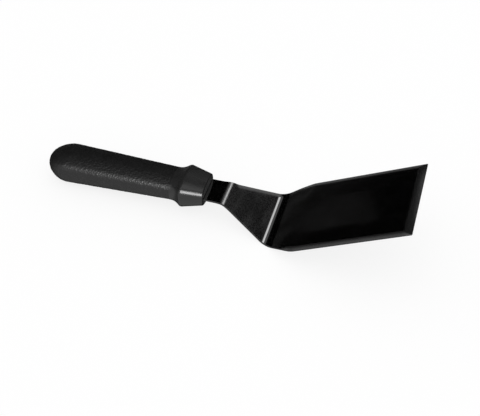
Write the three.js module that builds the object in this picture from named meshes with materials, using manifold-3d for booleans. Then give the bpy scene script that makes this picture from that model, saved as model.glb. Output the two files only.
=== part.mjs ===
// An offset turner: one formed sheet-steel blade, a smooth moulded core around its tang, and a textured grip
// moulded over the core. Millimetres, +Z up, +X from the handle to the tip of the blade, +Y to the left of the
// blade. The tool lies as it rests on a table: on the heel of the blade and on the underside of the butt.
import * as THREE from "three";
import { mergeVertices } from "three/addons/utils/BufferGeometryUtils.js";
import Module from "manifold-3d";

const degrees = THREE.MathUtils.degToRad;

// Sheet: one blank, folded at the heel and at the neck.
const SHEET = 1.4;
const BLADE_LENGTH = 116.4; // from the heel fold to the tip
const BLADE_WIDTH = 76.2;
const SHOULDER = 22.8; // from the heel fold to where the sides turn parallel
const SHOULDER_ROUNDING = 3.6;
const RISER_LENGTH = 42.8; // from the heel fold to the neck fold
const RISER_ANGLE = degrees(51.3); // riser against blade
const HANDLE_ANGLE = degrees(26.3); // handle against blade
const HEEL_RADIUS = 12.5; // both radii are at the middle of the sheet
const NECK_RADIUS = 9.4;
const FOLD_STEPS = 10;
const NECK_TO_COLLAR = 15.25;
const TANG_WIDTH = 24.3;
const TANG_ROUNDING = 7.7;
const TIP_CORNER = 0.8;
const OUTLINE_DETAIL = 8; // segments in each curve of the blank's outline

// Ground edges on the upper face.
const EDGE_THICKNESS = 0.45;
const FRONT_GRIND = 7;
const SIDE_GRIND = 5;
const BROKEN_EDGE = 0.2; // on the edges that are not ground
const LEAST_BEVEL = 0.05;
const GRIND_FADE = { before: 0, after: 11 }; // the side grind dies out over this stretch around the shoulder

// Tang inside the handle.
const TANG_FULL_DEPTH = 7; // stays full width this far behind the collar's face
const TANG_SLOPE_LENGTH = 7;
const TANG_INNER_WIDTH = 15;
const TANG_DEPTH = 91;
const TANG_END_TURN = degrees(20); // the round end of the tang stops this far from its middle, in a short flat
const ANCHOR_DEPTHS = [41, 73];
const ANCHOR_RADIUS = 4;

// Handle, seen from above (half widths) and from the side (half heights).
// The cap's value is the power of its curve: 1 is an ellipse, and less is fuller.
const HANDLE_LENGTH = 130.6;
const HALF_WIDTH = { front: 13.9, peak: 18, neck: 13.9, butt: 16, cap: 0.9 };
const HALF_HEIGHT = { front: 8.6, peak: 12.3, neck: 9.4, butt: 12.2, cap: 0.75 };
const FRONT_ROUNDING = 0.9;
const PEAK_DEPTH = 17.5;
const PEAK_ROUNDING = 1.2;
const NECK_DEPTH = 23;
const NECK_ROUNDING = 3.5;
const CAP_LENGTH = 19.2;
const CAP_STEPS = 6;
const PROFILE_DETAIL = 5; // segments in each of the profile's other curves
const BUTT_POLE = 0.1; // no ring stands closer than this to the butt's last point

// The handle's section: a crowned top and bottom and two flatter sides, which meet in four soft ridges.
const RIDGE_OUT = 0.94; // a ridge's place, as a share of the half width
const RIDGE_UP = 0.66; // and of the half height
const RIDGE_ROUNDING = 0.13; // reach of the ridge's rounding, as a share of the half width
const SECTION_DETAIL = 3;
const BAR_SIDES = 24;

// Core and grip.
const SEAM_DEPTH = 27; // the grip starts here, behind the neck
const GRIP_WALL = 3.2;
const SPINE_DEPTH = HANDLE_LENGTH - 12;
const SPINE_TIP = 8;
const SPINE_ROUNDS = [0, 0.5, 0.8, 0.95]; // rings of the spine's blunt end, as shares of its length
const SPINE_LEAD = 4; // the spine starts this far inside the collar
const SLOT_LEAD = 2; // the tang's slot is cut from this far in front of the collar
const PEG_RADIUS = 2.2;
const FIT_GAP = 0.3;
const THROUGH = 40; // longer than the handle is thick
const LEAST_STEP = 0.02; // stations closer together than this are one
const TILT_ACCURACY = 1e-6;

const STEEL_FINISH = { color: 0xb9bbbd, roughness: 0.12, metalness: 1 };
const CORE_FINISH = { color: 0x151515, roughness: 0.25, metalness: 0 };
const GRIP_FINISH = { color: 0x171717, roughness: 0.5, metalness: 0 };

const wasm = await Module();
wasm.setup();

function toSolid(geometry) {
  const bare = geometry.clone();
  for (const name of ["normal", "uv"]) bare.deleteAttribute(name);
  const merged = mergeVertices(bare, 1e-4);
  const mesh = new wasm.Mesh({
    numProp: 3,
    vertProperties: new Float32Array(merged.attributes.position.array),
    triVerts: new Uint32Array(merged.index.array),
  });
  return new wasm.Manifold(mesh);
}

function toGeometry(solid) {
  const { vertProperties, triVerts } = solid.getMesh();
  const geometry = new THREE.BufferGeometry();
  geometry.setAttribute("position", new THREE.BufferAttribute(vertProperties, 3));
  geometry.setIndex(new THREE.BufferAttribute(triVerts, 1));
  geometry.computeVertexNormals();
  return geometry;
}

function centreOf(ring) {
  const sum = ring.reduce((total, point) => total.add(point), new THREE.Vector3());
  return sum.divideScalar(ring.length);
}

// A closed body through rings of equally many points. The rings turn clockwise as seen from the last ring.
function loft(rings, lastPoint = centreOf(rings.at(-1))) {
  const around = rings[0].length;
  const points = [...rings.flat(), centreOf(rings[0]), lastPoint];
  const index = [];
  const firstCentre = rings.length * around;
  const lastRing = (rings.length - 1) * around;
  for (let i = 0; i < around; i++) {
    const next = (i + 1) % around;
    for (let start = 0; start < lastRing; start += around) {
      const [a, b] = [start + i, start + next];
      index.push(a, a + around, b, b, a + around, b + around);
    }
    index.push(firstCentre, i, next);
    index.push(firstCentre + 1, lastRing + next, lastRing + i);
  }
  return new THREE.BufferGeometry().setFromPoints(points).setIndex(index);
}

// The second coordinate of a chain of points at a given first coordinate.
function along(points, position) {
  const after = points.findIndex((point) => point.x >= position);
  if (after < 0) return points.at(-1).y;
  if (after === 0) return points[0].y;
  const [from, to] = [points[after - 1], points[after]];
  return THREE.MathUtils.mapLinear(position, from.x, to.x, from.y, to.y);
}

function distinct(values) {
  const sorted = [...values].sort((a, b) => a - b);
  return sorted.filter((value, i) => i === 0 || value - sorted[i - 1] > LEAST_STEP);
}

// ---- Sheet ----

// Straights and folds in order from the tip. turn is how much steeper the sheet climbs by the end of a fold.
const heelTurn = RISER_ANGLE;
const neckTurn = HANDLE_ANGLE - RISER_ANGLE;
const heelSetback = HEEL_RADIUS * Math.tan(heelTurn / 2);
const neckSetback = NECK_RADIUS * Math.tan(-neckTurn / 2);
const STRETCHES = [
  { length: BLADE_LENGTH - heelSetback, turn: 0 },
  { length: HEEL_RADIUS * heelTurn, turn: heelTurn },
  { length: RISER_LENGTH - heelSetback - neckSetback, turn: 0 },
  { length: -NECK_RADIUS * neckTurn, turn: neckTurn },
  { length: NECK_TO_COLLAR - neckSetback + TANG_DEPTH, turn: 0 },
];
const SHEET_LENGTH = STRETCHES.reduce((sum, { length }) => sum + length, 0);
const COLLAR_AT = SHEET_LENGTH - TANG_DEPTH;

// Middle of the sheet at a distance from the tip, and how steeply it climbs there.
function sheetAt(distance) {
  let [x, z, climb, left] = [BLADE_LENGTH, 0, 0, distance];
  for (const { length, turn } of STRETCHES) {
    const part = Math.min(left, length);
    const next = climb + (turn * part) / length;
    if (turn === 0) {
      x -= part * Math.cos(climb);
      z += part * Math.sin(climb);
    } else {
      const radius = length / turn;
      x -= radius * (Math.sin(next) - Math.sin(climb));
      z -= radius * (Math.cos(next) - Math.cos(climb));
    }
    climb = next;
    left -= part;
    if (left <= 0) break;
  }
  return { x, z, climb };
}

// Half of the blank's outline: distance from the tip against half width.
function blankOutline() {
  const half = BLADE_WIDTH / 2;
  const tang = TANG_WIDTH / 2;
  const inner = TANG_INNER_WIDTH / 2;
  const shoulder = BLADE_LENGTH - SHOULDER;
  const taper = (half - tang) / (COLLAR_AT - NECK_TO_COLLAR - shoulder);
  const taperEnd = COLLAR_AT - NECK_TO_COLLAR;
  const fullEnd = COLLAR_AT + TANG_FULL_DEPTH;
  const slopeEnd = fullEnd + TANG_SLOPE_LENGTH;
  const path = new THREE.Path();
  path.moveTo(0, half - TIP_CORNER);
  path.quadraticCurveTo(0, half, TIP_CORNER, half);
  path.lineTo(shoulder - SHOULDER_ROUNDING, half);
  path.quadraticCurveTo(shoulder, half, shoulder + SHOULDER_ROUNDING, half - taper * SHOULDER_ROUNDING);
  path.lineTo(taperEnd - TANG_ROUNDING, tang + taper * TANG_ROUNDING);
  path.quadraticCurveTo(taperEnd, tang, taperEnd + TANG_ROUNDING, tang);
  path.lineTo(fullEnd, tang);
  path.lineTo(slopeEnd, inner);
  path.lineTo(SHEET_LENGTH - inner, inner);
  path.absellipse(SHEET_LENGTH - inner, 0, inner, inner, Math.PI / 2, TANG_END_TURN, true);
  path.lineTo(SHEET_LENGTH, inner * Math.sin(TANG_END_TURN));
  return path.getPoints(OUTLINE_DETAIL);
}

// Heights of the upper face across one side of the blade, from the middle outwards.
function groundEdge(distance, halfWidth) {
  const top = SHEET / 2;
  const groundTop = EDGE_THICKNESS - SHEET / 2;
  const shoulder = BLADE_LENGTH - SHOULDER;
  const share = Math.min(1, distance / FRONT_GRIND);
  const fade = THREE.MathUtils.smoothstep(distance, shoulder - GRIND_FADE.before, shoulder + GRIND_FADE.after);
  const width = THREE.MathUtils.lerp(SIDE_GRIND * share, BROKEN_EDGE, fade);
  return {
    flat: halfWidth - Math.max(width, LEAST_BEVEL),
    flatHeight: THREE.MathUtils.lerp(groundTop, top, share),
    edgeHeight: THREE.MathUtils.lerp(groundTop, top - BROKEN_EDGE, fade),
  };
}

// The sheet between two distances from the tip, larger all round by grow.
function sheetGeometry(from, to, grow = 0) {
  const outline = blankOutline();
  const foldEnds = [0, 1, 2, 3].map((i) => STRETCHES.slice(0, i + 1).reduce((sum, s) => sum + s.length, 0));
  const folds = [[foldEnds[0], foldEnds[1]], [foldEnds[2], foldEnds[3]]];
  const steps = [...Array(FOLD_STEPS + 1).keys()].map((i) => i / FOLD_STEPS);
  const candidates = [
    from,
    to,
    FRONT_GRIND,
    ...outline.map((point) => point.x),
    ...folds.flatMap(([start, end]) => steps.map((step) => THREE.MathUtils.lerp(start, end, step))),
  ];
  const stations = distinct(candidates.filter((distance) => distance >= from && distance <= to));
  const under = -SHEET / 2 - grow;
  const rings = stations.map((distance) => {
    const { x, z, climb } = sheetAt(distance);
    const halfWidth = along(outline, distance) + grow;
    const { flat, flatHeight, edgeHeight } = groundEdge(distance, halfWidth);
    const across = [
      [halfWidth, under],
      [halfWidth, edgeHeight + grow],
      [flat, flatHeight + grow],
      [-flat, flatHeight + grow],
      [-halfWidth, edgeHeight + grow],
      [-halfWidth, under],
    ];
    return across.map(([y, height]) => {
      const lift = new THREE.Vector3(Math.sin(climb), 0, Math.cos(climb)).multiplyScalar(height);
      return new THREE.Vector3(x, y, z).add(lift);
    });
  });
  return loft(rings);
}

// A round bar through the handle's middle plane, in the handle's own frame.
function crossBar(depth, radius, length) {
  const bar = new THREE.CylinderGeometry(radius, radius, length, BAR_SIDES);
  return bar.rotateX(Math.PI / 2).translate(-depth, 0, 0);
}

// ---- Handle, in its own frame: the collar's face is at x = 0 and the butt is towards -X ----

// One edge of the handle: depth behind the collar's face against half a width or height.
function handleOutline({ front, peak, neck, butt, cap }) {
  const collar = (peak - front) / PEAK_DEPTH;
  const flare = (neck - peak) / (NECK_DEPTH - PEAK_DEPTH);
  const capStart = HANDLE_LENGTH - CAP_LENGTH;
  const grip = (butt - neck) / (capStart - NECK_DEPTH);
  const path = new THREE.Path();
  path.moveTo(0, front - FRONT_ROUNDING);
  path.quadraticCurveTo(0, front, FRONT_ROUNDING, front + collar * FRONT_ROUNDING);
  path.lineTo(PEAK_DEPTH - PEAK_ROUNDING, peak - collar * PEAK_ROUNDING);
  path.quadraticCurveTo(PEAK_DEPTH, peak, PEAK_DEPTH + PEAK_ROUNDING, peak + flare * PEAK_ROUNDING);
  path.lineTo(NECK_DEPTH - NECK_ROUNDING, neck - flare * NECK_ROUNDING);
  path.quadraticCurveTo(NECK_DEPTH, neck, NECK_DEPTH + NECK_ROUNDING, neck + grip * NECK_ROUNDING);
  path.lineTo(SEAM_DEPTH, neck + grip * (SEAM_DEPTH - NECK_DEPTH));
  for (let step = 0; step <= CAP_STEPS; step++) {
    const turn = (Math.PI / 2) * (step / CAP_STEPS);
    path.lineTo(capStart + CAP_LENGTH * Math.sin(turn), butt * Math.max(Math.cos(turn), 0) ** cap);
  }
  return path.getPoints(PROFILE_DETAIL);
}

const widths = handleOutline(HALF_WIDTH);
const heights = handleOutline(HALF_HEIGHT);

// A quarter of the section, from the middle of the top to the middle of the side.
function quarterSection(halfWidth, halfHeight) {
  const ridge = new THREE.Vector2(RIDGE_OUT * halfWidth, RIDGE_UP * halfHeight);
  const drop = halfHeight - ridge.y;
  const bulge = halfWidth - ridge.x;
  const topRadius = (ridge.x ** 2 + drop ** 2) / (2 * drop);
  const sideRadius = (ridge.y ** 2 + bulge ** 2) / (2 * bulge);
  const rounding = RIDGE_ROUNDING * halfWidth;
  const topEnd = Math.PI / 2 - Math.asin(ridge.x / topRadius) + rounding / topRadius;
  const sideStart = Math.asin(ridge.y / sideRadius) - rounding / sideRadius;
  const sideX = halfWidth - sideRadius + sideRadius * Math.cos(sideStart);
  const path = new THREE.Path();
  path.absarc(0, halfHeight - topRadius, topRadius, Math.PI / 2, topEnd, true);
  path.quadraticCurveTo(ridge.x, ridge.y, sideX, sideRadius * Math.sin(sideStart));
  path.absarc(halfWidth - sideRadius, 0, sideRadius, sideStart, 0, true);
  return path.getPoints(SECTION_DETAIL);
}

// A ring around the handle at a depth, smaller all round by inset.
function sectionRing(depth, inset = 0, scale = 1) {
  const halfWidth = (along(widths, depth) - inset) * scale;
  const halfHeight = (along(heights, depth) - inset) * scale;
  const down = quarterSection(halfWidth, halfHeight);
  const up = down.toReversed();
  const turned = [
    ...up.slice(1).map(({ x, y }) => [x, y]),
    ...down.slice(1).map(({ x, y }) => [-x, y]),
    ...up.slice(1).map(({ x, y }) => [-x, -y]),
    ...down.slice(1).map(({ x, y }) => [x, -y]),
  ];
  return turned.map(([y, z]) => new THREE.Vector3(-depth, y, z));
}

function outerBody(from, to) {
  const depths = widths.map((point) => point.x).filter((depth) => depth >= from && depth <= to);
  const stations = distinct([from, ...depths]).filter((depth) => depth < HANDLE_LENGTH - BUTT_POLE);
  const rings = stations.map((depth) => sectionRing(depth));
  const end = to >= HANDLE_LENGTH ? new THREE.Vector3(-HANDLE_LENGTH, 0, 0) : undefined;
  return loft(rings, end);
}

// The part of the core under the grip, with a blunt end.
function spine(from, inset, extra = 0) {
  const blunt = SPINE_DEPTH - SPINE_TIP;
  const body = [from, SEAM_DEPTH].map((depth) => sectionRing(depth, inset));
  const end = SPINE_ROUNDS.map((share) => {
    const ring = sectionRing(blunt, inset, Math.sqrt(1 - share ** 2));
    return ring.map(({ y, z }) => new THREE.Vector3(-(blunt + share * SPINE_TIP + extra), y, z));
  });
  return loft([...body, ...end], new THREE.Vector3(-SPINE_DEPTH - extra, 0, 0));
}

// ---- Assembly ----

const collarFace = sheetAt(COLLAR_AT);
const handle = new THREE.Group();
handle.position.set(collarFace.x, 0, collarFace.z);
handle.rotation.y = HANDLE_ANGLE;
handle.updateMatrix();

function named(name, geometry, finish) {
  const mesh = new THREE.Mesh(geometry, new THREE.MeshStandardMaterial(finish));
  mesh.name = name;
  return mesh;
}

function makeBlade() {
  let blade = toSolid(sheetGeometry(0, SHEET_LENGTH));
  for (const depth of ANCHOR_DEPTHS) {
    const hole = crossBar(depth, ANCHOR_RADIUS, THROUGH).applyMatrix4(handle.matrix);
    blade = blade.subtract(toSolid(hole));
  }
  return named("blade", toGeometry(blade), STEEL_FINISH);
}

function makeCore() {
  const collar = toSolid(outerBody(0, SEAM_DEPTH));
  const tangSpace = sheetGeometry(COLLAR_AT - SLOT_LEAD, SHEET_LENGTH, FIT_GAP);
  let slot = toSolid(tangSpace.applyMatrix4(handle.matrix.clone().invert()));
  for (const depth of ANCHOR_DEPTHS) {
    slot = slot.subtract(toSolid(crossBar(depth, ANCHOR_RADIUS - FIT_GAP, THROUGH)));
  }
  let core = collar.add(toSolid(spine(SEAM_DEPTH - SPINE_LEAD, GRIP_WALL))).subtract(slot);
  for (const depth of ANCHOR_DEPTHS) {
    core = core.subtract(toSolid(crossBar(depth, PEG_RADIUS + FIT_GAP, THROUGH)));
  }
  return named("handle_core", toGeometry(core), CORE_FINISH);
}

function makeGrip() {
  const skin = toSolid(outerBody(SEAM_DEPTH + FIT_GAP, HANDLE_LENGTH));
  let grip = skin.subtract(toSolid(spine(SEAM_DEPTH - SPINE_LEAD, GRIP_WALL - FIT_GAP, FIT_GAP)));
  for (const depth of ANCHOR_DEPTHS) {
    const reach = 2 * (along(heights, depth) - GRIP_WALL / 2);
    grip = grip.add(toSolid(crossBar(depth, PEG_RADIUS, reach)));
  }
  return named("grip", toGeometry(grip), GRIP_FINISH);
}

const tool = new THREE.Group();
tool.add(makeBlade(), handle);
handle.add(makeCore(), makeGrip());

// How far the tool leans back until the butt and the heel of the blade are level.
function restingTilt(group) {
  const buttOverHeel = (tilt) => {
    group.rotation.y = -tilt;
    group.updateMatrixWorld(true);
    const butt = new THREE.Box3().setFromObject(group.getObjectByName("grip"), true).min.z;
    return butt - new THREE.Box3().setFromObject(group.getObjectByName("blade"), true).min.z;
  };
  let [low, high] = [0, RISER_ANGLE];
  while (high - low > TILT_ACCURACY) {
    const middle = (low + high) / 2;
    if (buttOverHeel(middle) > 0) low = middle;
    else high = middle;
  }
  return low;
}

tool.rotation.y = -restingTilt(tool);
tool.updateMatrixWorld(true);
const box = new THREE.Box3().setFromObject(tool, true);
tool.position.set(-(box.min.x + box.max.x) / 2, -(box.min.y + box.max.y) / 2, -box.min.z);

const palette_knife = new THREE.Group();
palette_knife.add(tool);

export default palette_knife;
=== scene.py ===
"""An offset turner at rest: a folded steel blade, a smooth black collar and a pebble-grained black grip."""

import math

import bpy
import numpy as np
from mathutils import Matrix, Vector, noise


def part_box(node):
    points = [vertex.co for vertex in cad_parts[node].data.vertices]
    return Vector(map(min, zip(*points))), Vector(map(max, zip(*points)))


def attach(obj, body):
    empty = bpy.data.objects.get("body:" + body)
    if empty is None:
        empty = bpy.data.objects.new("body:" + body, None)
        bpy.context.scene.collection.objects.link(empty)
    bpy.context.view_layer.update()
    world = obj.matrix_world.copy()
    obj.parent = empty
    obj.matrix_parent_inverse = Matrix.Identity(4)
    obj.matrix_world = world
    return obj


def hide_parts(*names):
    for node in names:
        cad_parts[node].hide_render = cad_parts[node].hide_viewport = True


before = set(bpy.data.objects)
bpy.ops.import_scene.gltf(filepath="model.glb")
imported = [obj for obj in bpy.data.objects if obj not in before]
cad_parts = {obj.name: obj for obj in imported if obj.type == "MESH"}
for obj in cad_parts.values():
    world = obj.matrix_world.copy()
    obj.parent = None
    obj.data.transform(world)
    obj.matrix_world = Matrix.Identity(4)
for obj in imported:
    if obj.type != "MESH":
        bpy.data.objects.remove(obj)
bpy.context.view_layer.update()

MM = 0.001

# ---- Sizes in millimetres, the same as the CAD's ----

SHEET = 1.4
BLADE_LENGTH = 116.4
BLADE_WIDTH = 76.2
SHOULDER = 22.8
SHOULDER_ROUNDING = 3.6
RISER_LENGTH = 42.8
RISER_ANGLE = math.radians(51.3)
HANDLE_ANGLE = math.radians(26.3)
HEEL_RADIUS = 12.5
NECK_RADIUS = 9.4
NECK_TO_COLLAR = 15.25
TANG_WIDTH = 24.3
TANG_ROUNDING = 7.7
TIP_CORNER = 0.8
EDGE_THICKNESS = 0.45
GRIND_FADE = (0, 11)  # the side grind dies out from this far before the shoulder to this far behind it
FRONT_GRIND = 7
SIDE_GRIND = 5
LEAST_BEVEL = 0.05
TANG_FULL_DEPTH = 7
TANG_SLOPE_LENGTH = 7
TANG_INNER_WIDTH = 15
TANG_DEPTH = 91
RESTING_TILT = math.radians(28.108)

HANDLE_LENGTH = 130.6
HALF_WIDTH = {"front": 13.9, "peak": 18, "neck": 13.9, "butt": 16, "cap": 0.9}
HALF_HEIGHT = {"front": 8.6, "peak": 12.3, "neck": 9.4, "butt": 12.2, "cap": 0.75}
FRONT_ROUNDING = 0.9
PEAK_DEPTH = 17.5
PEAK_ROUNDING = 1.2
NECK_DEPTH = 23
NECK_ROUNDING = 3.5
CAP_LENGTH = 19.2
RIDGE_OUT = 0.94
RIDGE_UP = 0.66
SEAM_DEPTH = 27
GRIP_WALL = 3.2
SPINE_DEPTH = HANDLE_LENGTH - 12
SPINE_TIP = 8
FIT_GAP = 0.3

# ---- Finish of the edges and surfaces in millimetres, finer than the CAD's ----

GRIND_CURVE = 1.5  # 1 is a flat ground edge, more is a convex one
GRIND_WAVER = 0.28  # how far the width of a side's grind strays
GRIND_WAVER_LENGTH = 17
GRIND_WAVER_APART = 5.0  # keeps the wavers of the two sides different
STAMPED_EDGE = 0.4  # rounding of the sheet's top edge away from the ground edges
STAMPED_ROLL = 0.38  # how far the blanking die pulled down the riser's far edge, over STAMPED_ROLL_WIDTH
STAMPED_ROLL_WIDTH = 5
UNDER_EDGE = 0.15
SATIN_STARTS = (-2, 0.5)  # where the polish gives way to the satin riser, past the end of the heel's fold
SATIN_ENDS = (-2, 1)  # and where it comes back, past the end of the neck's fold
FRONT_FINISH = 0.8  # the front's lines are full up to this share of its grind, then fade out
RIDGE_ROUNDING = 0.2  # reach of the rounding of the four ridges, as a share of half the width
BUTT_ROUNDING = 0.5  # the same at the butt's end
BUTT_SOFTENING = 0.8  # share of the cap's length over which the ridges grow softer
RIDGE_REACH = 0.9  # a ridge's rounding takes no more than this share of the face beside it
SEAM_GROOVE = 0.15  # depth of the groove between collar and grip
SEAM_WIDTH = 0.25
GRIP_RIM = 0.25  # how far the grip's front rim stays inside its side
SLOT_LIP = 0.5  # bevel around the mouth of the tang's slot
SLOT_END = 8  # length of the slot's last stretch, which keeps its width around the tang's round end
TANG_END_TURN = 0.3  # radians from the tang's middle at which its round end gives way to a short flat
PEBBLE = 2.0  # pitch of the grip's grain
PEBBLE_HEIGHT = 0.24
PEBBLE_FLANK = 0.32  # a pebble is full where its middle is this many pitches nearer than the next one
PEBBLE_LEVELS = (0.8, 0.2)  # the height that all pebbles share, and the part that differs
PEBBLE_CELL = 7.3  # spreads the cells of the noise that picks a pebble's height
GRIP_SINK = 0.05  # how far even the highest pebbles stay under the CAD's skin, as a share of PEBBLE_HEIGHT
GRAIN_FADE = 0.9  # the grain dies out this close to the grip's front rim

# ---- Fineness of the meshes ----

FOLD_STEPS = 26
SHEET_STEP = 1.5  # between stations along the sheet
FRONT_STATIONS = 9  # across the front grind
LEAST_STEP = 0.05  # stations closer together than this are one
EDGE_STEPS = 4
GRIND_STEPS = 7
CORNER_STEPS = 6
SHOULDER_STEPS = 10
TANG_STEPS = {"side": 14, "end": 10}
HANDLE_STEPS = {"front": 10, "peak": 12, "neck": 16, "cap": 90}
SECTION_STEPS = {"crown": 30, "ridge": 14, "side": 18}
GRIP_AROUND = 264
GRIP_STEP = 0.34
CAP_FINENESS = 1.25  # rings over the butt against those that a quarter circle would need
COLLAR_AROUND = 192
COLLAR_STEP = 0.5
SPINE_SHARES = (0.999, 0.98, 0.93, 0.85, 0.7, 0.5, 0.25, 0)  # rings of the spine's blunt end
SPINE_RINGS = 12
SLOT_CORNER = math.radians(19.5)  # the angle round the slot's rings where they turn their first corner

# ---- Stage, in metres and degrees ----

FLOOR_REACH = 6.0
FLOOR_GREY = 0.2
FLOOR_GLOW = 0.82
CAMERA_AZIMUTH = 14.845
CAMERA_ELEVATION = 44.586
CAMERA_ROLL = 2.202
CAMERA_PLACE = (0.14271, -0.49153, 0.50507)
CAMERA_LENS = 69.54

# Each light's direction from the object, distance, size and radiance.
STRIP = ((0.138, 0.688, 0.712), 1.6, (0.26, 0.4), 0.85)
SOFTBOX = ((0.2, -0.78, 0.6), 0.9, (0.55, 0.5), 15)
OVERHEAD = ((-0.05, -0.04, 0.45), 0.46, (0.14, 0.46), 1.15)
CARD = ((0.009, 0.708, 0.706), 0.465, (0.095, 0.17), 0.068)

EVEN_LIGHT = 1.05  # of the world, to the camera and to diffuse surfaces

# Dim parts of the room in reflections. Each has a direction, how many degrees away from it the glow starts
# and is full, and a radiance.
GLOWS = (
    ((0, -1, -0.1), 84.3, 53.1, 0.72),  # the room in front
    ((-0.78, 0.12, 0.62), 21.6, 0, 0.11),  # along the near ground edge
    ((0.17, 0.91, 0.38), 17.8, 7.3, 0.15),  # along the rolled far edge of the riser
    ((-0.65, 0.75, 0.35), 1.85, 1.0, 0.0065),  # a faint patch on the blade
    ((-0.9, 0.97, 0.44), 1.35, 0.5, 0.0065),  # a smaller one, which overlaps it
    ((-0.65, 0.54, -0.03), 19.9, 19.7, 0.013),  # a faint stripe by the heel, which is a narrow ring
    ((-0.65, 0.54, -0.03), 19.4, 19.2, -0.013),  # and the dark inside of the ring
    ((0.08, 0.69, 0.72), 19.1, 3.6, 0.043),  # around the strip light
    ((-0.45, 0.87, -0.2), 21.6, 8.1, 0.06),  # behind the far edge
    ((-0.6, 0.5, -0.62), 60, 18.2, 0.07),  # the floor, from under the blade
    ((0.35, -0.1, 0.93), 36.9, 11.5, 0.12),  # the ceiling
)


# ---- Curves ----


def bezier(start, control, end, steps):
    """Points of a quadratic curve without its start."""
    t = np.linspace(0, 1, steps + 1)[1:, None]
    start, control, end = (np.array(p, float) for p in (start, control, end))
    return (1 - t) ** 2 * start + 2 * t * (1 - t) * control + t**2 * end


def arc(centre, radii, start, end, steps):
    """Points of an elliptical arc without its start."""
    angle = np.linspace(start, end, steps + 1)[1:]
    x = centre[0] + radii[0] * np.cos(angle)
    y = centre[1] + radii[1] * np.sin(angle)
    return np.stack([x, y], axis=1)


def chain(*parts):
    """One array of points from single points and arrays of points."""
    return np.vstack([np.atleast_2d(np.array(part, float)) for part in parts])


def smoothstep(low, high, value):
    t = np.clip((value - low) / (high - low), 0, 1)
    return t * t * (3 - 2 * t)


# ---- Sheet ----

HEEL_SETBACK = HEEL_RADIUS * math.tan(RISER_ANGLE / 2)
NECK_TURN = HANDLE_ANGLE - RISER_ANGLE
NECK_SETBACK = NECK_RADIUS * math.tan(-NECK_TURN / 2)
STRETCHES = [
    (BLADE_LENGTH - HEEL_SETBACK, 0),
    (HEEL_RADIUS * RISER_ANGLE, RISER_ANGLE),
    (RISER_LENGTH - HEEL_SETBACK - NECK_SETBACK, 0),
    (-NECK_RADIUS * NECK_TURN, NECK_TURN),
    (NECK_TO_COLLAR - NECK_SETBACK + TANG_DEPTH, 0),
]
STRETCH_ENDS = np.cumsum([length for length, _ in STRETCHES])
SHEET_LENGTH = STRETCH_ENDS[-1]
SATIN_FROM = [STRETCH_ENDS[1] + margin for margin in SATIN_STARTS]
SATIN_TO = [STRETCH_ENDS[3] + margin for margin in SATIN_ENDS]
COLLAR_AT = SHEET_LENGTH - TANG_DEPTH


def sheet_at(distance):
    """Middle of the sheet at a distance from the tip, and how steeply it climbs there."""
    x, z, climb, left = BLADE_LENGTH, 0.0, 0.0, distance
    for length, turn in STRETCHES:
        part = min(left, length)
        after = climb + turn * part / length
        if turn == 0:
            x -= part * math.cos(climb)
            z += part * math.sin(climb)
        else:
            radius = length / turn
            x -= radius * (math.sin(after) - math.sin(climb))
            z -= radius * (math.cos(after) - math.cos(climb))
        climb = after
        left -= part
        if left <= 0:
            break
    return x, z, climb


def blank_outline():
    """Half of the blank: distance from the tip against half width."""
    half, tang, inner = BLADE_WIDTH / 2, TANG_WIDTH / 2, TANG_INNER_WIDTH / 2
    shoulder = BLADE_LENGTH - SHOULDER
    taper_end = COLLAR_AT - NECK_TO_COLLAR
    taper = (half - tang) / (taper_end - shoulder)
    full_end = COLLAR_AT + TANG_FULL_DEPTH
    shoulder_end = (shoulder + SHOULDER_ROUNDING, half - taper * SHOULDER_ROUNDING)
    taper_last = (taper_end - TANG_ROUNDING, tang + taper * TANG_ROUNDING)
    return chain(
        (0, half - TIP_CORNER),
        bezier((0, half - TIP_CORNER), (0, half), (TIP_CORNER, half), CORNER_STEPS),
        (shoulder - SHOULDER_ROUNDING, half),
        bezier((shoulder - SHOULDER_ROUNDING, half), (shoulder, half), shoulder_end, SHOULDER_STEPS),
        taper_last,
        bezier(taper_last, (taper_end, tang), (taper_end + TANG_ROUNDING, tang), TANG_STEPS["side"]),
        (full_end, tang),
        (full_end + TANG_SLOPE_LENGTH, inner),
        (SHEET_LENGTH - inner, inner),
        arc((SHEET_LENGTH - inner, 0), (inner, inner), math.pi / 2, TANG_END_TURN, TANG_STEPS["end"]),
    )


def grind_width(distance, side):
    """Width of a side's ground edge: nominal, with the slow waver of a hand-held grind."""
    place = Vector((distance / GRIND_WAVER_LENGTH, GRIND_WAVER_APART * side, 0))
    return SIDE_GRIND + GRIND_WAVER * noise.noise(place)


def die_roll(distance, side):
    """Share of the stamped roll: all of it on the far side until shortly before the neck's fold."""
    if side < 0:
        return 0
    riser_end = STRETCH_ENDS[2]
    return float(smoothstep(riser_end, riser_end - STAMPED_ROLL_WIDTH, distance))


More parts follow.
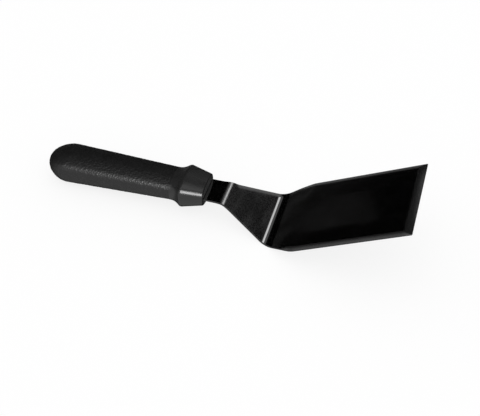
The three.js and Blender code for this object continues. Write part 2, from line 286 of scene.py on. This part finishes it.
def half_section(distance, half_width, side):
    """One side of the sheet's section, from the middle of the underside round to the middle of the top.

    The side is -1 for the near one and 1 for the far one.
    """
    top, under = SHEET / 2, -SHEET / 2
    ground = EDGE_THICKNESS - SHEET / 2
    shoulder = BLADE_LENGTH - SHOULDER
    share = min(1, distance / FRONT_GRIND)
    fade = float(smoothstep(shoulder - GRIND_FADE[0], shoulder + GRIND_FADE[1], distance))
    roll = die_roll(distance, side)
    stamped_width = 2 * STAMPED_EDGE + roll * (STAMPED_ROLL_WIDTH - 2 * STAMPED_EDGE)
    stamped_top = top - roll * STAMPED_ROLL
    width = (1 - fade) * grind_width(distance, side) * share + fade * stamped_width
    edge = (1 - fade) * ground + fade * stamped_top
    flat_height = ground + (1 - (1 - share) ** GRIND_CURVE) * (top - ground)
    top_edge = (1 - fade) * UNDER_EDGE + fade * STAMPED_EDGE
    flat = half_width - max(width, top_edge + LEAST_BEVEL)
    t = np.linspace(0, 1, GRIND_STEPS + 1)[1:]
    grind_y = half_width - top_edge + t * (flat - half_width + top_edge)
    grind_z = edge + (1 - (1 - t) ** GRIND_CURVE) * (flat_height - edge)
    return chain(
        (0, under),
        (half_width / 2, under),
        (half_width - UNDER_EDGE, under),
        arc((half_width - UNDER_EDGE, under + UNDER_EDGE), (UNDER_EDGE,) * 2, -math.pi / 2, 0, EDGE_STEPS),
        arc((half_width - top_edge, edge - top_edge), (top_edge,) * 2, 0, math.pi / 2, EDGE_STEPS),
        np.stack([grind_y, grind_z], axis=1),
        (flat / 2, flat_height),
        (0, flat_height),
    )


WALL_FROM = 2  # where a half section turns up round the underside's edge
GROUND_FROM = WALL_FROM + 2 * EDGE_STEPS  # where it reaches the ground edge
GROUND_TO = GROUND_FROM + GRIND_STEPS


def sheet_stations(outline):
    """Distances from the tip, closest together over the front grind and round the folds."""
    spread = [
        np.linspace(0, 1, FRONT_STATIONS) * FRONT_GRIND,
        np.arange(FRONT_GRIND, COLLAR_AT, SHEET_STEP),
        outline[:, 0],
    ]
    for fold in (1, 3):
        spread.append(np.linspace(STRETCH_ENDS[fold - 1], STRETCH_ENDS[fold], FOLD_STEPS + 1))
    stations = np.unique(np.round(np.concatenate(spread), 3))
    keep = np.concatenate([[True], np.diff(stations) > LEAST_STEP])
    return stations[keep]


def sheet_rings():
    """Rings round the sheet in the tool's frame, one for each station, and the stations."""
    outline = blank_outline()
    stations = sheet_stations(outline)
    rings = []
    for distance in stations:
        x, z, climb = sheet_at(distance)
        half_width = np.interp(distance, outline[:, 0], outline[:, 1])
        near = half_section(distance, half_width, -1)
        far = half_section(distance, half_width, 1)
        across = np.vstack([far[:-1], (near * (-1, 1))[:0:-1]])
        lift = across[:, 1]
        points = [x + lift * math.sin(climb), across[:, 0], z + lift * math.cos(climb)]
        rings.append(np.stack(points, axis=1))
    return rings, stations


# ---- Handle, in its own frame: the collar's face is at x = 0 and the butt is towards -X ----


def handle_outline(sizes):
    """Depth behind the collar's face against half a width or height."""
    front, peak, neck, butt = (sizes[key] for key in ("front", "peak", "neck", "butt"))
    collar = (peak - front) / PEAK_DEPTH
    flare = (neck - peak) / (NECK_DEPTH - PEAK_DEPTH)
    cap_start = HANDLE_LENGTH - CAP_LENGTH
    grip = (butt - neck) / (cap_start - NECK_DEPTH)
    rim_end = (FRONT_ROUNDING, front + collar * FRONT_ROUNDING)
    peak_start = (PEAK_DEPTH - PEAK_ROUNDING, peak - collar * PEAK_ROUNDING)
    peak_end = (PEAK_DEPTH + PEAK_ROUNDING, peak + flare * PEAK_ROUNDING)
    neck_start = (NECK_DEPTH - NECK_ROUNDING, neck - flare * NECK_ROUNDING)
    neck_end = (NECK_DEPTH + NECK_ROUNDING, neck + grip * NECK_ROUNDING)
    cap = arc((0, 0), (1, 1), math.pi / 2, 0, HANDLE_STEPS["cap"])
    return chain(
        (0, front - FRONT_ROUNDING),
        bezier((0, front - FRONT_ROUNDING), (0, front), rim_end, HANDLE_STEPS["front"]),
        peak_start,
        bezier(peak_start, (PEAK_DEPTH, peak), peak_end, HANDLE_STEPS["peak"]),
        neck_start,
        bezier(neck_start, (NECK_DEPTH, neck), neck_end, HANDLE_STEPS["neck"]),
        (cap_start, butt),
        np.stack([cap_start + CAP_LENGTH * cap[:, 0], butt * cap[:, 1] ** sizes["cap"]], axis=1),
    )


WIDTHS = handle_outline(HALF_WIDTH)
HEIGHTS = handle_outline(HALF_HEIGHT)


def ridge_rounding(depth):
    """Rounding of the four ridges as a share of half the width: softest at the butt."""
    butt = smoothstep(HANDLE_LENGTH - CAP_LENGTH * BUTT_SOFTENING, HANDLE_LENGTH, depth)
    return RIDGE_ROUNDING + butt * (BUTT_ROUNDING - RIDGE_ROUNDING)


def quarter_section(half_width, half_height, softness):
    """From the middle of the top to the middle of the side."""
    ridge = (RIDGE_OUT * half_width, RIDGE_UP * half_height)
    drop, bulge = half_height - ridge[1], half_width - ridge[0]
    top_radius = (ridge[0] ** 2 + drop**2) / (2 * drop)
    side_radius = (ridge[1] ** 2 + bulge**2) / (2 * bulge)
    top_turn = math.asin(ridge[0] / top_radius)
    side_turn = math.asin(ridge[1] / side_radius)
    top_end = math.pi / 2 - top_turn + min(softness * half_width / top_radius, RIDGE_REACH * top_turn)
    side_start = side_turn - min(softness * half_width / side_radius, RIDGE_REACH * side_turn)
    top_centre = (0, half_height - top_radius)
    side_centre = (half_width - side_radius, 0)
    crown = arc(top_centre, (top_radius, top_radius), math.pi / 2, top_end, SECTION_STEPS["crown"])
    side = arc(side_centre, (side_radius, side_radius), side_start, 0, SECTION_STEPS["side"])
    side_first = (side_centre[0] + side_radius * math.cos(side_start), side_radius * math.sin(side_start))
    rounding = bezier(crown[-1], ridge, side_first, SECTION_STEPS["ridge"])
    return chain((0, half_height), crown, rounding, side)


def section(half_width, half_height, softness, around):
    """The whole section as evenly spaced points, from the middle of the far side over the top."""
    down = quarter_section(half_width, half_height, softness)
    up = down[::-1]
    loop = chain(up, down[1:] * (-1, 1), up[1:] * (-1, -1), down[1:] * (1, -1))
    walked = np.concatenate([[0], np.cumsum(np.linalg.norm(np.diff(loop, axis=0), axis=1))])
    even = np.linspace(0, walked[-1], around, endpoint=False)
    return np.stack([np.interp(even, walked, loop[:, 0]), np.interp(even, walked, loop[:, 1])], axis=1)


def handle_ring(depth, around, inset=0.0, scale=1.0, at=None):
    """The handle's section at a depth, drawn in by the inset, scaled, and placed there or elsewhere."""
    half_width = (np.interp(depth, WIDTHS[:, 0], WIDTHS[:, 1]) - inset) * scale
    half_height = (np.interp(depth, HEIGHTS[:, 0], HEIGHTS[:, 1]) - inset) * scale
    points = section(half_width, half_height, ridge_rounding(depth), around)
    x = np.full(around, -(depth if at is None else at))
    return np.column_stack([x, points])


def spine_rings(around, inset, extra=0.0):
    """The part under the grip from its blunt end forwards to the seam."""
    blunt = SPINE_DEPTH - SPINE_TIP
    rings = []
    for share in SPINE_SHARES:
        scale = math.sqrt(1 - share**2)
        rings.append(handle_ring(blunt, around, inset, scale, blunt + share * SPINE_TIP + extra))
    for depth in np.linspace(blunt, SEAM_DEPTH, SPINE_RINGS)[1:]:
        rings.append(handle_ring(depth, around, inset))
    return rings


def slot_ring(depth, around, grow):
    """A rectangle around the tang, with its points matched to the section's."""
    outline = blank_outline()
    half = np.interp(COLLAR_AT + depth, outline[:, 0], outline[:, 1]) + grow
    high = SHEET / 2 + grow
    angle = np.linspace(0, 2 * math.pi, around, endpoint=False)
    y = half * np.clip(np.cos(angle) / math.cos(SLOT_CORNER), -1, 1)
    z = high * np.clip(np.sin(angle) / math.sin(SLOT_CORNER), -1, 1)
    return np.column_stack([np.full(around, -depth), y, z])


# ---- Meshes ----


def surface(name, rings, material, place, sharp_rings):
    """A closed smooth mesh through rings of equally many points, capped at both ends.

    Edges round the rings in sharp_rings stay crisp.
    """
    around, count = len(rings[0]), len(rings)
    points = np.vstack(rings)
    ends = [rings[0].mean(axis=0), rings[-1].mean(axis=0)]
    points = np.vstack([points, ends]) * MM
    i = np.arange(around)
    after = (i + 1) % around
    faces = []
    for ring in range(count - 1):
        low, high = ring * around, (ring + 1) * around
        faces.extend(np.stack([low + i, low + after, high + after, high + i], axis=1).tolist())
    first, last = count * around, count * around + 1
    faces.extend([first, int(b), int(a)] for a, b in zip(i, after))
    base = (count - 1) * around
    faces.extend([last, int(base + a), int(base + b)] for a, b in zip(i, after))
    mesh = bpy.data.meshes.new(name)
    mesh.from_pydata(points.tolist(), [], faces)
    mesh.transform(place)
    mesh.materials.append(material)
    mesh.shade_smooth()
    mark_sharp(mesh, around, sharp_rings)
    piece = bpy.data.objects.new(name, mesh)
    bpy.context.scene.collection.objects.link(piece)
    turn_outwards(piece)
    return piece


def paint(piece, name, values):
    """Stores one number for each point; the two at the middles of the ends take their ring's."""
    layer = piece.data.attributes.new(name, "FLOAT", "POINT")
    layer.data.foreach_set("value", np.concatenate([values, values[:1], values[-1:]]))


def mark_sharp(mesh, around, rings):
    """Makes the edges round the given rings crisp."""
    pairs = np.empty(len(mesh.edges) * 2, int)
    mesh.edges.foreach_get("vertices", pairs)
    ring, other_ring = pairs.reshape(-1, 2).T // around
    layer = mesh.attributes.get("sharp_edge") or mesh.attributes.new("sharp_edge", "BOOLEAN", "EDGE")
    layer.data.foreach_set("value", (ring == other_ring) & np.isin(ring, rings))


def turn_outwards(piece):
    """Flips every face if the mesh encloses a negative volume."""
    mesh = piece.data
    mesh.calc_loop_triangles()
    corners = np.empty(len(mesh.loop_triangles) * 3, int)
    mesh.loop_triangles.foreach_get("vertices", corners)
    points = np.empty(len(mesh.vertices) * 3)
    mesh.vertices.foreach_get("co", points)
    a, b, c = points.reshape(-1, 3)[corners.reshape(-1, 3)].transpose(1, 0, 2)
    if np.einsum("ij,ij->i", a, np.cross(b, c)).sum() < 0:
        mesh.flip_normals()


# ---- Material nodes ----


def add_node(tree, kind, inputs=(), **settings):
    """A node with its settings, and with each named or numbered input linked or set to a value."""
    node = tree.nodes.new(kind)
    for key, value in settings.items():
        setattr(node, key, value)
    for key, value in dict(inputs).items():
        if isinstance(value, bpy.types.NodeSocket):
            tree.links.new(value, node.inputs[key])
        else:
            node.inputs[key].default_value = value
    return node


class Nodes:
    """A node material with a Principled shader, and short calls that add nodes to it."""

    def __init__(self, name, **constants):
        self.material = bpy.data.materials.new(name)
        self.material.use_nodes = True
        self.tree = self.material.node_tree
        self.shader = self.tree.nodes["Principled BSDF"]
        for socket, value in constants.items():
            self.shader.inputs[socket.replace("_", " ")].default_value = value

    def add(self, kind, inputs=(), **settings):
        return add_node(self.tree, kind, inputs, **settings)

    def link(self, socket, target):
        self.tree.links.new(socket, self.shader.inputs[target])

    def coordinates(self, stretch=(1, 1, 1), turn=0.0):
        """Object coordinates in millimetres, turned about Y into the plane of the sheet, then stretched."""
        place = self.add("ShaderNodeTexCoord").outputs["Object"]
        turned = self.add(
            "ShaderNodeMapping",
            {"Vector": place, "Rotation": (0, turn, 0), "Scale": (1 / MM, 1 / MM, 1 / MM)},
        ).outputs[0]
        return self.add("ShaderNodeMapping", {"Vector": turned, "Scale": stretch}).outputs[0]

    def noise(self, where, scale, detail=3.0, roughness=0.5, distortion=0.0):
        """Soft noise from 0 to 1, with the scale in features per millimetre."""
        inputs = {"Vector": where, "Scale": scale, "Detail": detail}
        inputs |= {"Roughness": roughness, "Distortion": distortion}
        return self.add("ShaderNodeTexNoise", inputs).outputs["Fac"]

    def ramp(self, value, low, high, to_low, to_high):
        """Eases a value that runs from low to high into one that runs from to_low to to_high."""
        made = self.add(
            "ShaderNodeMapRange",
            {"Value": value, "From Min": low, "From Max": high, "To Min": to_low, "To Max": to_high},
            interpolation_type="SMOOTHSTEP",
        )
        return made.outputs["Result"]

    def math(self, operation, a, b):
        return self.add("ShaderNodeMath", {0: a, 1: b}, operation=operation).outputs[0]

    def mix(self, share, a, b):
        """a where the share is 0, and b where it is 1."""
        return self.add("ShaderNodeMix", {0: share, 2: a, 3: b}, data_type="FLOAT").outputs[0]

    def attribute(self, name):
        return self.add("ShaderNodeAttribute", attribute_name=name).outputs["Fac"]

    def grey(self, value):
        return self.add("ShaderNodeCombineColor", {0: value, 1: value, 2: value}).outputs[0]

    def bump(self, height, strength, distance_mm, normal=None):
        inputs = {"Height": height, "Strength": strength, "Distance": distance_mm * MM}
        if normal is not None:
            inputs["Normal"] = normal
        return self.add("ShaderNodeBump", inputs).outputs["Normal"]


def sheet_steel():
    """One sheet with three finishes: mirror polish, a satin riser, and ground edges lined straight across."""
    nodes = Nodes("sheet_steel", Metallic=1.0)
    plain = nodes.coordinates()
    satin, ground = nodes.attribute("satin"), nodes.attribute("ground")
    front, sheared = nodes.attribute("front"), nodes.attribute("sheared")
    clouds = nodes.noise(plain, 0.09, 4, 0.6, 0.5)
    bands = nodes.noise(nodes.coordinates((1, 0.3, 1), RESTING_TILT - RISER_ANGLE), 0.1, 3, 0.5)
    smudges = nodes.noise(plain, 0.045, 4, 0.6, 0.4)
    brushed = nodes.noise(nodes.coordinates((0.035, 1, 1), RESTING_TILT - RISER_ANGLE), 3.2, 6, 0.75)
    haze = nodes.noise(nodes.coordinates((0.02, 1, 1), RESTING_TILT), 2.2, 6, 0.7)
    front_lines = nodes.noise(nodes.coordinates((0.05, 1, 1), RESTING_TILT), 3.5, 5, 0.8)
    side_lines = nodes.noise(nodes.coordinates((1, 0.05, 1), RESTING_TILT), 3.5, 5, 0.8)
    ground_lines = nodes.mix(front, side_lines, front_lines)

    mirror_gloss = nodes.math(
        "ADD", nodes.ramp(haze, 0.3, 0.75, 0.05, 0.08), nodes.ramp(smudges, 0.45, 0.8, 0, 0.03)
    )
    satin_gloss = nodes.math(
        "ADD", nodes.ramp(brushed, 0.25, 0.75, 0.13, 0.19), nodes.ramp(bands, 0.35, 0.65, 0, 0.06)
    )
    ground_gloss = nodes.ramp(ground_lines, 0.25, 0.75, 0.14, 0.22)
    gloss = nodes.mix(ground, nodes.mix(satin, mirror_gloss, satin_gloss), ground_gloss)
    nodes.link(nodes.mix(sheared, gloss, nodes.ramp(side_lines, 0.3, 0.7, 0.4, 0.5)), "Roughness")

    sheet_tone = nodes.ramp(clouds, 0.3, 0.7, 0.6, 0.54)
    ground_tone = nodes.ramp(ground_lines, 0.3, 0.7, 0.5, 0.62)
    # painted shade: the sheared wall's steel is kept near black so that it stays dark under the lights
    painted_shade_wall_tone = nodes.ramp(side_lines, 0.3, 0.7, 0.04, 0.09)
    tone = nodes.mix(sheared, nodes.mix(ground, sheet_tone, ground_tone), painted_shade_wall_tone)
    nodes.link(nodes.grey(tone), "Base Color")

    lines = nodes.mix(ground, nodes.mix(satin, haze, brushed), ground_lines)
    depth = nodes.mix(ground, nodes.mix(satin, 0.02, 0.12), 0.3)
    waves = nodes.bump(nodes.noise(plain, 0.035, 1), 0.15, 1.0)
    nodes.link(nodes.bump(lines, depth, 0.03, waves), "Normal")
    return nodes.material


def collar_plastic():
    """Smooth black polypropylene: soft gloss, faint flow lines and fine handling marks."""
    nodes = Nodes("collar_plastic", IOR=1.49)
    plain = nodes.coordinates()
    flow = nodes.noise(nodes.coordinates((0.15, 1, 1)), 0.35, 3, 0.5, 0.6)
    marks = nodes.noise(plain, 2.4, 4, 0.7)
    gloss = nodes.math("ADD", nodes.ramp(flow, 0.3, 0.7, 0.26, 0.3), nodes.ramp(marks, 0.5, 0.8, 0, 0.05))
    nodes.link(nodes.mix(nodes.attribute("face"), gloss, 0.6), "Roughness")
    nodes.link(nodes.grey(nodes.ramp(flow, 0.3, 0.7, 0.015, 0.018)), "Base Color")
    peel = nodes.bump(nodes.noise(plain, 0.9, 2), 0.12, 0.05)
    nodes.link(nodes.bump(marks, 0.05, 0.02, peel), "Normal")
    return nodes.material


def grip_plastic():
    """Black moulded plastic: satin pebbles, glossier than the grooves and paler than them through painted
    shade in the grooves, with a micro grain.
    """
    nodes = Nodes("grip_plastic", IOR=1.49)
    plain = nodes.coordinates()
    grain = nodes.noise(plain, 5.5, 3, 0.6)
    clouds = nodes.noise(plain, 0.12, 3, 0.5)
    pebble = nodes.attribute("pebble")
    grooves = nodes.ramp(pebble, 0.2, 0.8, 0.16, 0)
    nodes.link(nodes.math("ADD", nodes.ramp(grain, 0.3, 0.7, 0.3, 0.42), grooves), "Roughness")
    tone = nodes.ramp(clouds, 0.3, 0.7, 0.005, 0.0095)
    # painted shade: the grooves take a quarter of the pebbles' tone, as if shadowed, and the pebble tops are
    # a little paler
    painted_groove_shade = nodes.math("MULTIPLY", nodes.ramp(pebble, 0.3, 1, 0.25, 1.1), tone)
    nodes.link(nodes.grey(painted_groove_shade), "Base Color")
    nodes.link(nodes.bump(grain, 0.25, 0.03), "Normal")
    return nodes.material


# ---- Pieces ----


def tool_place():
    """From the tool's frame to the world: tilted back, then moved to where the CAD's blade stands."""
    tilt = Matrix.Rotation(-RESTING_TILT, 4, "Y")
    rings, _ = sheet_rings()
    points = np.vstack(rings) * MM @ np.array(tilt.to_3x3()).T
    low, high = (np.array(corner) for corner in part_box("blade"))
    from_below = low - points.min(axis=0)
    from_above = high - points.max(axis=0)
    shift = (from_above[0], (from_below[1] + from_above[1]) / 2, from_below[2])
    return Matrix.Translation(Vector(shift)) @ tilt


def make_blade(place):
    rings, stations = sheet_rings()
    around = len(rings[0])
    piece = surface("turner_blade", rings, sheet_steel(), place, (0,))
    across = np.arange(around)
    from_middle = np.minimum(across, around - across)
    on_ground = smoothstep(GROUND_TO, GROUND_TO - 1, from_middle) * (from_middle >= GROUND_FROM)
    shoulder = BLADE_LENGTH - SHOULDER
    side = on_ground[None, :] * smoothstep(shoulder + GRIND_FADE[1], shoulder, stations)[:, None]
    top = (from_middle >= GROUND_FROM).astype(float)
    front = smoothstep(FRONT_GRIND, FRONT_GRIND * FRONT_FINISH, stations)[:, None] * top[None, :]
    satin = np.repeat(smoothstep(*SATIN_FROM, stations) * (1 - smoothstep(*SATIN_TO, stations)), around)
    wall = (from_middle > WALL_FROM) & (from_middle < GROUND_FROM)
    paint(piece, "sheared", np.tile(wall.astype(float), len(stations)))
    paint(piece, "satin", satin)
    paint(piece, "front", front.ravel())
    paint(piece, "ground", np.maximum(side, front).ravel())
    return piece


def make_collar(place):
    """Collar and hidden core as one body: up the core's back, round the collar, and into the tang's slot."""
    around = COLLAR_AROUND
    depths = set(np.round(np.arange(0, SEAM_DEPTH, COLLAR_STEP), 3)) | {SEAM_DEPTH}
    depths |= {float(d) for d in WIDTHS[:, 0] if d < SEAM_DEPTH}
    rings = spine_rings(around, GRIP_WALL)
    for shift in (SEAM_WIDTH, 0):
        rings.append(handle_ring(SEAM_DEPTH, around, SEAM_GROOVE, 1, SEAM_DEPTH + shift))
    seam = len(rings)
    rings += [handle_ring(depth, around) for depth in sorted(depths, reverse=True)]
    face = len(rings)
    rings.append(slot_ring(0, around, FIT_GAP + SLOT_LIP))
    rings.append(slot_ring(SLOT_LIP, around, FIT_GAP))
    slope_end, last_stretch = TANG_FULL_DEPTH + TANG_SLOPE_LENGTH, TANG_DEPTH - SLOT_END
    for depth in (TANG_FULL_DEPTH, slope_end, last_stretch, TANG_DEPTH + FIT_GAP):
        ring = slot_ring(min(depth, last_stretch), around, FIT_GAP)
        ring[:, 0] = -depth
        rings.append(ring)
    crisp = (seam - 3, seam - 2, seam - 1, seam, face - 1, face)
    piece = surface("turner_collar", rings, collar_plastic(), place, crisp)
    paint(piece, "face", np.repeat(np.arange(len(rings)) >= face - 1, around).astype(float))
    return piece


def pebbles(points):
    """Height of the moulded grain, from 0 in a groove to 1 on a pebble."""
    heights = np.empty(len(points))
    shared, varied = PEBBLE_LEVELS
    for i, point in enumerate(points / PEBBLE):
        distances, cells = noise.voronoi(point)
        own = noise.cell(cells[0] * PEBBLE_CELL)
        swell = min(1.0, (distances[1] - distances[0]) / PEBBLE_FLANK)
        heights[i] = swell * (2 - swell) * (shared + varied * own)
    return heights


def grip_depths():
    """Depths of the grip's rings, spaced evenly along its surface and closing up over the butt."""
    start, cap_start = SEAM_DEPTH + FIT_GAP, HANDLE_LENGTH - CAP_LENGTH
    straight = np.arange(start, cap_start, GRIP_STEP)
    steps = int(CAP_FINENESS * HALF_WIDTH["butt"] / GRIP_STEP * math.pi / 2)
    angle = np.linspace(0, math.pi / 2, steps + 1)[:-1]
    return np.concatenate([straight, cap_start + CAP_LENGTH * np.sin(angle)])


def make_grip(place):
    around = GRIP_AROUND
    depths = grip_depths()
    grid = np.array([handle_ring(depth, around) for depth in depths])
    along = np.gradient(grid, axis=0)
    across = np.roll(grid, -1, axis=1) - np.roll(grid, 1, axis=1)
    normal = np.cross(along, across)
    normal /= np.linalg.norm(normal, axis=2, keepdims=True)
    outward = np.sign(np.sum(normal * (grid - grid.mean(axis=1, keepdims=True)), axis=2, keepdims=True))
    height = pebbles(grid.reshape(-1, 3)).reshape(grid.shape[:2])
    fade = smoothstep(0, GRAIN_FADE, depths - depths[0])
    depth_of_grain = PEBBLE_HEIGHT * (fade[:, None] * (height - 1) - GRIP_SINK)
    grid = grid + normal * outward * depth_of_grain[..., None]
    bore = GRIP_WALL - FIT_GAP
    rim = [handle_ring(SEAM_DEPTH + FIT_GAP, around, inset) for inset in (bore, GRIP_RIM)]
    inner = spine_rings(around, bore, FIT_GAP)
    rings = inner[:-1] + rim + list(grid)
    piece = surface("turner_grip", rings, grip_plastic(), place, (len(inner) - 1, len(inner)))
    smooth = np.zeros((len(rings) - len(grid)) * around)
    paint(piece, "pebble", np.concatenate([smooth, height.ravel()]))
    return piece


# ---- Stage ----


def make_floor():
    """A pale floor that glows a little, so that shadows on it stay faint."""
    mesh = bpy.data.meshes.new("floor")
    corners = [(x * FLOOR_REACH, y * FLOOR_REACH, 0) for x, y in ((-1, -1), (1, -1), (1, 1), (-1, 1))]
    mesh.from_pydata(corners, [], [(0, 1, 2, 3)])
    paper = Nodes(
        "floor_paper",
        Base_Color=(FLOOR_GREY, FLOOR_GREY, FLOOR_GREY, 1),
        Roughness=0.9,
        Emission_Color=(1, 1, 1, 1),
        Emission_Strength=FLOOR_GLOW,
    )
    mesh.materials.append(paper.material)
    floor = bpy.data.objects.new("floor", mesh)
    floor.visible_glossy = False
    bpy.context.scene.collection.objects.link(floor)


def make_camera():
    azimuth, elevation = math.radians(CAMERA_AZIMUTH), math.radians(CAMERA_ELEVATION)
    flat = math.cos(elevation)
    back = Vector((math.sin(azimuth) * flat, -math.cos(azimuth) * flat, math.sin(elevation)))
    data = bpy.data.cameras.new("camera")
    data.lens = CAMERA_LENS
    camera = bpy.data.objects.new("camera", data)
    camera.location = CAMERA_PLACE
    camera.rotation_mode = "QUATERNION"
    roll = Matrix.Rotation(math.radians(CAMERA_ROLL), 4, "Z").to_quaternion()
    camera.rotation_quaternion = (-back).to_track_quat("-Z", "Y") @ roll
    bpy.context.scene.collection.objects.link(camera)
    bpy.context.scene.camera = camera


def area_light(name, towards, distance, size, radiance):
    """A rectangle of light in the given direction from the object, facing it, seen only in reflections."""
    data = bpy.data.lights.new(name, "AREA")
    data.shape = "RECTANGLE"
    data.size, data.size_y = size
    data.energy = radiance * math.pi * size[0] * size[1]
    light = bpy.data.objects.new(name, data)
    direction = Vector(towards).normalized()
    light.location = direction * distance
    light.rotation_mode = "QUATERNION"
    light.rotation_quaternion = direction.to_track_quat("Z", "Y")
    light.visible_diffuse = False
    light.visible_camera = False
    bpy.context.scene.collection.objects.link(light)
    return light


def light_only(light, pieces):
    """Keeps the light to the given pieces, so that it doesn't burn out the polished blade from behind."""
    lit = bpy.data.collections.new(light.name + "_receivers")
    for piece in pieces:
        lit.objects.link(piece)
    light.light_linking.receiver_collection = lit


def make_lights(handle_pieces):
    area_light("strip", *STRIP)
    light_only(area_light("softbox", *SOFTBOX), handle_pieces)
    area_light("overhead", *OVERHEAD)
    area_light("card", *CARD)


def make_world():
    """An even white for the camera and soft light, and a dark studio with a few dim glows in reflections."""
    world = bpy.data.worlds.new("studio")
    world.use_nodes = True
    bpy.context.scene.world = world
    tree = world.node_tree
    tree.nodes.clear()
    direction = add_node(tree, "ShaderNodeTexCoord").outputs["Generated"]
    total = 0.0
    for towards, start, full, radiance in GLOWS:
        inputs = {0: direction, 1: Vector(towards).normalized()}
        cosine = add_node(tree, "ShaderNodeVectorMath", inputs, operation="DOT_PRODUCT").outputs["Value"]
        reach = [math.cos(math.radians(angle)) for angle in (start, full)]
        inputs = {0: cosine, 1: reach[0], 2: reach[1], 3: 0.0, 4: radiance}
        glow = add_node(tree, "ShaderNodeMapRange", inputs, interpolation_type="SMOOTHSTEP").outputs[0]
        total = add_node(tree, "ShaderNodeMath", {0: total, 1: glow}).outputs[0]
    studio = add_node(tree, "ShaderNodeBackground", {"Color": total}).outputs[0]
    even = add_node(tree, "ShaderNodeBackground", {"Strength": EVEN_LIGHT}).outputs[0]
    glossy = add_node(tree, "ShaderNodeLightPath").outputs["Is Glossy Ray"]
    mixed = add_node(tree, "ShaderNodeMixShader", {0: glossy, 1: even, 2: studio}).outputs[0]
    add_node(tree, "ShaderNodeOutputWorld", {"Surface": mixed})


place = tool_place()
face_x, face_z, _ = sheet_at(COLLAR_AT)
collar_face = Matrix.Translation((face_x * MM, 0, face_z * MM))
handle_place = place @ collar_face @ Matrix.Rotation(HANDLE_ANGLE, 4, "Y")

blade, collar, grip = make_blade(place), make_collar(handle_place), make_grip(handle_place)
for piece, node, slot in (
    (blade, "blade", "steel"),
    (collar, "handle_core", "collar_plastic"),
    (grip, "grip", "grip_plastic"),
):
    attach(piece, "root")
    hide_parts(node)

make_floor()
make_camera()
make_lights((collar, grip))
make_world()
bpy.context.scene.view_settings.view_transform = "Standard"
